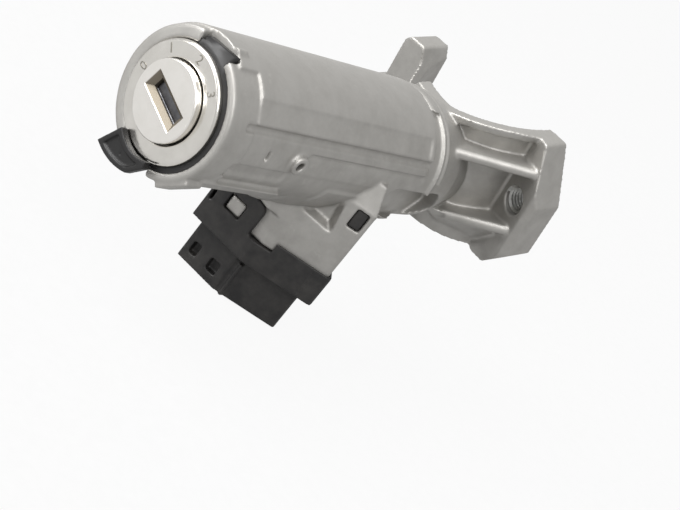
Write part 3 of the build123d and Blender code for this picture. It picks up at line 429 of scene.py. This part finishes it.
spot = castingFacts["panel"]
thick = 10  # of the block that cuts the panel flat
cutter = blockTool(around(spot["depth"] + thick / 2, spot["angle"], (spot["front"] + spot["rear"]) / 2),
                   (thick, spot["rear"] - spot["front"], spot["width"]), (0, -spot["angle"], 0))
workOn(housing, cutter, "DIFFERENCE")
for groove in ("stepGroove", "lineGroove"):
    spot = castingFacts[groove]
    cutter = rodTool(around(spot["middle"], spot["angle"], spot["front"]),
                     around(spot["middle"], spot["angle"], spot["rear"]), spot["radius"], sides=16)
    workOn(housing, cutter, "DIFFERENCE")
spot = castingFacts["slit"]
cutter = blockTool(around(spot["middle"], spot["angle"], spot["y"]), spot["size"], (0, -spot["angle"], 0))
workOn(housing, cutter, "DIFFERENCE")

# Lip of the rim over the left half of the guide ring, which is cut back to make room for it
lipFacts = {
    "front": 1.0, "rear": 2.8, "room": 0.15, "left": -4.6,
    "hole": 15.2, "outer": 17.2, "guideHole": 14.0, "guideOuter": 17.0,
    "leverGap": 13.6,  # width of the gap at the bottom where the lever stands
}
guide = copyOfNode("guide_ring", "guideRing")
for piece, inner, outer, rear in (
    (housing, lipFacts["hole"], lipFacts["outer"], lipFacts["rear"]),
    (guide, lipFacts["guideHole"], lipFacts["guideOuter"], lipFacts["rear"] + lipFacts["room"]),
):
    lip = rodTool((0, lipFacts["front"], 0), (0, rear, 0), outer, sides=96)
    workOn(lip, rodTool((0, -1, 0), (0, 9, 0), inner, sides=96), "DIFFERENCE")
    workOn(lip, blockTool((lipFacts["left"] - 20, 0, 0), (40, 20, 60)), "INTERSECT")
    workOn(lip, blockTool((0, 0, -20), (lipFacts["leverGap"], 20, 20)), "DIFFERENCE")
    workOn(piece, lip, "UNION" if piece is housing else "DIFFERENCE")
finishPiece(guide, "housing", nylonRingWithPaintedShade, "guide_ring")

spot = castingFacts["collarGap"]
gap = rodTool((0, spot["front"], 0), (0, spot["rear"], 0), 24, sides=96)
workOn(gap, rodTool((0, 70, 0), (0, 95, 0), spot["depth"], sides=96), "DIFFERENCE")
workOn(gap, blockTool(spot["middle"], spot["size"]), "INTERSECT")
workOn(housing, gap, "DIFFERENCE")
spot = castingFacts["collarRidge"]
bpy.ops.object.select_all(action="DESELECT")
bpy.ops.mesh.primitive_torus_add(location=(0, spot["y"] * mm, 0), rotation=(math.radians(90), 0, 0),
                                 major_segments=96, minor_segments=16,
                                 major_radius=spot["radius"] * mm, minor_radius=spot["bead"] * mm)
ridge = applyPlace(bpy.context.object)
workOn(ridge, blockTool((0, spot["y"], spot["bottom"] - 20), (60, 20, 40)), "DIFFERENCE")
workOn(housing, ridge, "UNION")

# Hood at the front of the clip ring, turned out of square; a tooth of the casting stands in
# its window, and the branch is cut back behind it
hoodFacts = {
    "turn": 17.5, "corner": (-9.1, 46.1),  # left end of its front face, seen from above
    "length": 15.5, "deep": 2.2, "top": -21.8, "bottom": -37.8, "round": 2.5, "thick": 1.5,
    "room": {"along": 9, "z": -28, "size": (34, 20, 12.4)},
    "tooth": {"place": (8.2, -2.4, -27.8), "size": (5.0, 4.0, 4.3), "edge": 0.5, "window": (5.6, 12.0, 4.9)},
}
hoodTurn = math.radians(hoodFacts["turn"])
hoodAlong = Vector((math.cos(hoodTurn), math.sin(hoodTurn), 0))
hoodOut = Vector((hoodAlong.y, -hoodAlong.x, 0))


def turnedBlock(corner, place, size, edge=0.0):
    # place: along the front face from its left end, out of the face, and height
    along, out, z = place
    middle = Vector((corner[0], corner[1], z)) + hoodAlong * along + hoodOut * out
    return blockTool(middle, size, (0, 0, hoodFacts["turn"]), edge)


corner = hoodFacts["corner"]
room = hoodFacts["room"]
tooth = hoodFacts["tooth"]
backOfHood = (room["along"], room["size"][1] / 2 - hoodFacts["thick"], room["z"])
workOn(housing, turnedBlock(corner, backOfHood, room["size"]), "DIFFERENCE")
workOn(housing, turnedBlock(corner, tooth["place"], tooth["size"], tooth["edge"]), "UNION")
spot = castingFacts["hole"]
for side, x, height in bracketFacts["holes"]:
    drill = rodTool(bracketPoint(x, spot["front"], height), bracketPoint(x, spot["rear"], height),
                    spot["radius"])
    workOn(housing, drill, "DIFFERENCE")
evenSkin(housing, castingFacts)
finishPiece(housing, "housing", casting, "lock_housing", evenAngle)
print("casting made")

# Threads of the tapped holes: a three-cornered ridge wound up the hole
threadFacts = {"radius": 3.95, "ridge": 0.62, "pitch": 1.25, "turns": 5, "steps": 36, "front": 23.4}
for side, x, height in bracketFacts["holes"]:
    ridgePlace = (threadFacts["radius"] * mm, 0, 0)
    bpy.ops.object.select_all(action="DESELECT")
    bpy.ops.mesh.primitive_circle_add(vertices=3, radius=threadFacts["ridge"] * mm,
                                      location=ridgePlace, rotation=(math.radians(90), 0, 0))
    thread = applyPlace(bpy.context.object)
    thread.name = "thread" + side
    bpy.ops.object.mode_set(mode="EDIT")
    bpy.ops.mesh.select_all(action="SELECT")
    bpy.ops.transform.rotate(value=math.radians(90), orient_axis="Y", center_override=ridgePlace)
    bpy.ops.object.mode_set(mode="OBJECT")
    wound = thread.modifiers.new("wound", "SCREW")
    wound.axis = "Z"
    wound.screw_offset = threadFacts["pitch"] * mm
    wound.iterations = threadFacts["turns"]
    wound.steps = threadFacts["steps"]
    wound.render_steps = threadFacts["steps"]
    bpy.ops.object.modifier_apply(modifier="wound")
    thread.rotation_euler = bracketOut.to_track_quat("Z", "Y").to_euler()
    thread.location = bracketPoint(x, threadFacts["front"], height) * mm
    applyPlace(thread)
    bpy.ops.object.mode_set(mode="EDIT")
    bpy.ops.mesh.select_all(action="SELECT")
    bpy.ops.mesh.normals_make_consistent(inside=False)
    bpy.ops.object.mode_set(mode="OBJECT")
    finishPiece(thread, "housing", steelThread)
print("threads cut")

# Clip ring: the plain ring with the hood and its cheek on the front
clipFacts = {
    "voxel": 0.3, "rounds": 2, "mostFaces": 150000,
    "front": {"middle": (0, 50, -26.6), "size": (24, 12, 9.0)},  # cut away for the hood
    "cheek": {"place": (2.6, -6.0, -33.0), "size": (5.2, 12, 9.6)},
    "branchHalf": 16.0,  # kept clear of the cheek
    "trim": {"place": (12, 6, -33), "size": (50, 12, 30)},  # all that is in front of the hood's face
    "slot": {"place": (1.3, 0, -29.7), "size": (0.9, 8.0, 3.4)},
    "roundAbove": -30,  # only the hood's upper corners are rounded
    "branchBottom": -50, "branchTop": -20,
}
hoodMiddle = (hoodFacts["length"] / 2, -hoodFacts["deep"] / 2, (hoodFacts["top"] + hoodFacts["bottom"]) / 2)
hoodSize = (hoodFacts["length"], hoodFacts["deep"], hoodFacts["top"] - hoodFacts["bottom"])
hood = turnedBlock(corner, hoodMiddle, hoodSize)
selectOnly(hood)
bpy.ops.object.mode_set(mode="EDIT")
bpy.ops.mesh.select_all(action="DESELECT")
bpy.ops.object.mode_set(mode="OBJECT")
for edge in hood.data.edges:
    ends = [hood.data.vertices[i].co for i in edge.vertices]
    across = (ends[0] - ends[1]).normalized()
    high = (ends[0].z + ends[1].z) / 2 > clipFacts["roundAbove"] * mm
    edge.select = abs(across.dot(hoodOut)) > 0.9 and high
bpy.context.tool_settings.mesh_select_mode = (False, True, False)
bpy.ops.object.mode_set(mode="EDIT")
bpy.ops.mesh.bevel(offset=hoodFacts["round"] * mm, segments=6)
bpy.ops.object.mode_set(mode="OBJECT")

clip = copyOfNode("clip_ring", "clipRing")
workOn(clip, blockTool(clipFacts["front"]["middle"], clipFacts["front"]["size"]), "DIFFERENCE")
cheek = turnedBlock(corner, clipFacts["cheek"]["place"], clipFacts["cheek"]["size"])
branch = rodTool((0, branchY, clipFacts["branchBottom"]), (0, branchY, clipFacts["branchTop"]),
                 clipFacts["branchHalf"] * math.sqrt(2), sides=4)
workOn(cheek, branch, "DIFFERENCE")
workOn(clip, cheek, "UNION")
workOn(clip, hood, "UNION")
workOn(clip, turnedBlock(corner, clipFacts["trim"]["place"], clipFacts["trim"]["size"]), "DIFFERENCE")
workOn(clip, turnedBlock(corner, tooth["place"], tooth["window"]), "DIFFERENCE")
workOn(clip, turnedBlock(corner, clipFacts["slot"]["place"], clipFacts["slot"]["size"]), "DIFFERENCE")
evenSkin(clip, clipFacts)
finishPiece(clip, "housing", nylonBlack, "clip_ring", evenAngle)

# Switch housing: its nose is turned as the hood is, with two blind windows and a corner groove
switchFacts = {
    "voxel": 0.32, "rounds": 2, "mostFaces": 180000,
    "filler": {"middle": (0.5, 52.2, -45.2), "size": (15, 6.4, 10.8)},  # behind the windows
    "corner": (-7.4, 49.4),  # left end of the nose's front face, seen from above
    "nose": {"place": (3.6, -5.0, -41.7), "size": (7.2, 10.0, 17.8)},
    "trim": {"place": (12, 6, -44), "size": (50, 12, 26)},  # all that is in front of the nose
    "windows": ((1.9, 4.4), (8.35, 11.6)),  # from and to, along the nose
    "windowZ": -46.0, "windowDeep": 4.4, "windowHigh": 3.75,
    "groove": {"x": 6.8, "y": 53.6, "bottom": -52, "top": -38, "radius": 0.9},
}
switch = copyOfNode("switch_housing", "switchHousing")
corner = switchFacts["corner"]
workOn(switch, blockTool(switchFacts["filler"]["middle"], switchFacts["filler"]["size"]), "UNION")
workOn(switch, turnedBlock(corner, switchFacts["nose"]["place"], switchFacts["nose"]["size"]), "UNION")
workOn(switch, turnedBlock(corner, switchFacts["trim"]["place"], switchFacts["trim"]["size"]), "DIFFERENCE")
for start, end in switchFacts["windows"]:
    window = turnedBlock(corner, ((start + end) / 2, 0, switchFacts["windowZ"]),
                         (end - start, switchFacts["windowDeep"], switchFacts["windowHigh"]))
    workOn(switch, window, "DIFFERENCE")
spot = switchFacts["groove"]
groove = rodTool((spot["x"], spot["y"], spot["bottom"]), (spot["x"], spot["y"], spot["top"]),
                 spot["radius"], sides=16)
workOn(switch, groove, "DIFFERENCE")
evenSkin(switch, switchFacts)
finishPiece(switch, "housing", nylonBlack, "switch_housing", evenAngle)
print("switch made")

# Release lever: the paddle's hollow is softened, with a small dimple in it
leverFacts = {
    "voxel": 0.16, "rounds": 18, "mostFaces": 60000,
    "dimple": {"x": -1.2, "z": -17.6, "front": -3.4, "rear": -1.5, "radius": 0.35},
}
lever = copyOfNode("release_lever", "releaseLever")
spot = leverFacts["dimple"]
dimple = rodTool((spot["x"], spot["front"], spot["z"]), (spot["x"], spot["rear"], spot["z"]),
                 spot["radius"], sides=16)
workOn(lever, dimple, "DIFFERENCE")
evenSkin(lever, leverFacts)
finishPiece(lever, "lever", nylonLeverWithPaintedShade, "release_lever", evenAngle)
print("lever made")

# Spring behind the retaining pin, given a mesh of its own
pinSpring = copyOfNode("retaining_spring", "retainingSpring")
finishPiece(pinSpring, "housing", steelWire, "retaining_spring")
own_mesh(pinSpring)

# Figures on the bright ring, one for each place that the plug turns to
figureFacts = {"size": 3.5, "proud": 0.07, "circle": 12.5, "angles": (178, 135, 90, 48)}
for figure, angle in enumerate(figureFacts["angles"]):
    bpy.ops.object.select_all(action="DESELECT")
    bpy.ops.object.text_add(location=[v * mm for v in around(figureFacts["circle"], angle, 0)],
                            rotation=(math.radians(90), math.radians(90 - angle), 0))
    text = bpy.context.object
    text.data.body = str(figure)
    text.data.size = figureFacts["size"] * mm
    text.data.align_x = "CENTER"
    text.data.align_y = "CENTER"
    text.data.extrude = figureFacts["proud"] * mm
    selectOnly(text)
    bpy.ops.object.convert(target="MESH")
    text = bpy.context.object
    text.name = "ringFigure" + str(figure)
    applyPlace(text)
    finishPiece(text, "housing", nickelFigure)
print("figures made")

# Floor under the switch: white to the camera and partly to what mirrors it, but still shaded
floorFacts = {
    "height": -51.2, "size": 6000, "tone": "#8e8e8e", "pale": "#a2a2a2", "grainSize": 2.5,
    "whiteShare": 0.93, "mirrored": 0.35,
}
bpy.ops.object.select_all(action="DESELECT")
bpy.ops.mesh.primitive_plane_add(size=floorFacts["size"] * mm, location=(0, 0, floorFacts["height"] * mm))
floor = bpy.context.object
floor.name = "floor"
bpy.ops.object.transform_apply(location=True)
material, tree, output, place = newMaterial("white paper floor")
paper = addNode(tree, "ShaderNodeTexNoise", None, {
    "Vector": place, "Scale": 1 / (floorFacts["grainSize"] * mm), "Detail": 2,
}).outputs[0]
paperTone = blendColours(tree, stretch(tree, paper, 0.3, 0.7, 0, 1), floorFacts["tone"], floorFacts["pale"])
matt = addNode(tree, "ShaderNodeBsdfDiffuse", None, {"Color": paperTone})
glow = addNode(tree, "ShaderNodeEmission", None, {"Color": (1, 1, 1, 1), "Strength": 1.0})
rays = addNode(tree, "ShaderNodeLightPath")
mirrored = addNode(tree, "ShaderNodeMath", {"operation": "MULTIPLY"}, {
    0: rays.outputs["Is Glossy Ray"], 1: floorFacts["mirrored"],
})
seen = addNode(tree, "ShaderNodeMath", {"operation": "MAXIMUM"}, {
    0: rays.outputs["Is Camera Ray"], 1: mirrored.outputs[0],
})
share = addNode(tree, "ShaderNodeMath", {"operation": "MULTIPLY"}, {
    0: seen.outputs[0], 1: floorFacts["whiteShare"],
})
both = addNode(tree, "ShaderNodeMixShader", None, {
    0: share.outputs[0], 1: matt.outputs[0], 2: glow.outputs[0],
})
tree.links.new(both.outputs[0], output.inputs[0])
floor.data.materials.append(material)

# Camera at the photograph's angle
cameraFacts = {
    "place": (229.1, -282.6, 142.2), "right": (0.5451, 0.5983, 0.5873),
    "forward": (-0.4735, 0.7978, -0.3733), "lens": 88.94, "sensor": 36,
}
cameraData = bpy.data.cameras.new("camera")
cameraData.lens = cameraFacts["lens"]
cameraData.sensor_width = cameraFacts["sensor"]
camera = bpy.data.objects.new("camera", cameraData)
bpy.context.scene.collection.objects.link(camera)
right = Vector(cameraFacts["right"]).normalized()
forward = Vector(cameraFacts["forward"]).normalized()
up = right.cross(forward)
aim = Matrix((right, up, -forward)).transposed().to_4x4()
camera.matrix_world = Matrix.Translation(Vector(cameraFacts["place"]) * mm) @ aim
bpy.context.scene.camera = camera

# Studio light: a big soft box over the camera, a narrower one at the left, a card at the
# front and a pale room
middle = Vector((0, 50, -5)) * mm
lamps = (
    # name, right, up, towards the camera (m), size (m), power (W)
    ("top box", -0.15, 0.9, 0.45, 0.7, 14.0),
    ("left strip", -0.9, 0.35, 0.4, 0.5, 4.8),
    ("front card", 0.45, 0.3, 0.95, 0.8, 7.0),
)
for name, alongRight, alongUp, near, size, power in lamps:
    lampData = bpy.data.lights.new(name, "AREA")
    lampData.size = size
    lampData.energy = power
    lamp = bpy.data.objects.new(name, lampData)
    bpy.context.scene.collection.objects.link(lamp)
    lamp.location = middle + right * alongRight + up * alongUp - forward * near
    lamp.rotation_euler = (middle - lamp.location).to_track_quat("-Z", "Y").to_euler()

roomFacts = {"light": 0.66, "seen": 1.0}  # strength that lights the part, and that the camera sees
world = bpy.data.worlds.new("pale room")
bpy.context.scene.world = world
world.use_nodes = True
tree = world.node_tree
tree.nodes.clear()
rays = addNode(tree, "ShaderNodeLightPath")
level = stretch(tree, rays.outputs["Is Camera Ray"], 0, 1, roomFacts["light"], roomFacts["seen"])
pale = addNode(tree, "ShaderNodeBackground", None, {"Color": (1, 1, 1, 1), "Strength": level})
addNode(tree, "ShaderNodeOutputWorld", None, {0: pale.outputs[0]})
bpy.context.scene.view_settings.view_transform = "Standard"
print("camera and light set")
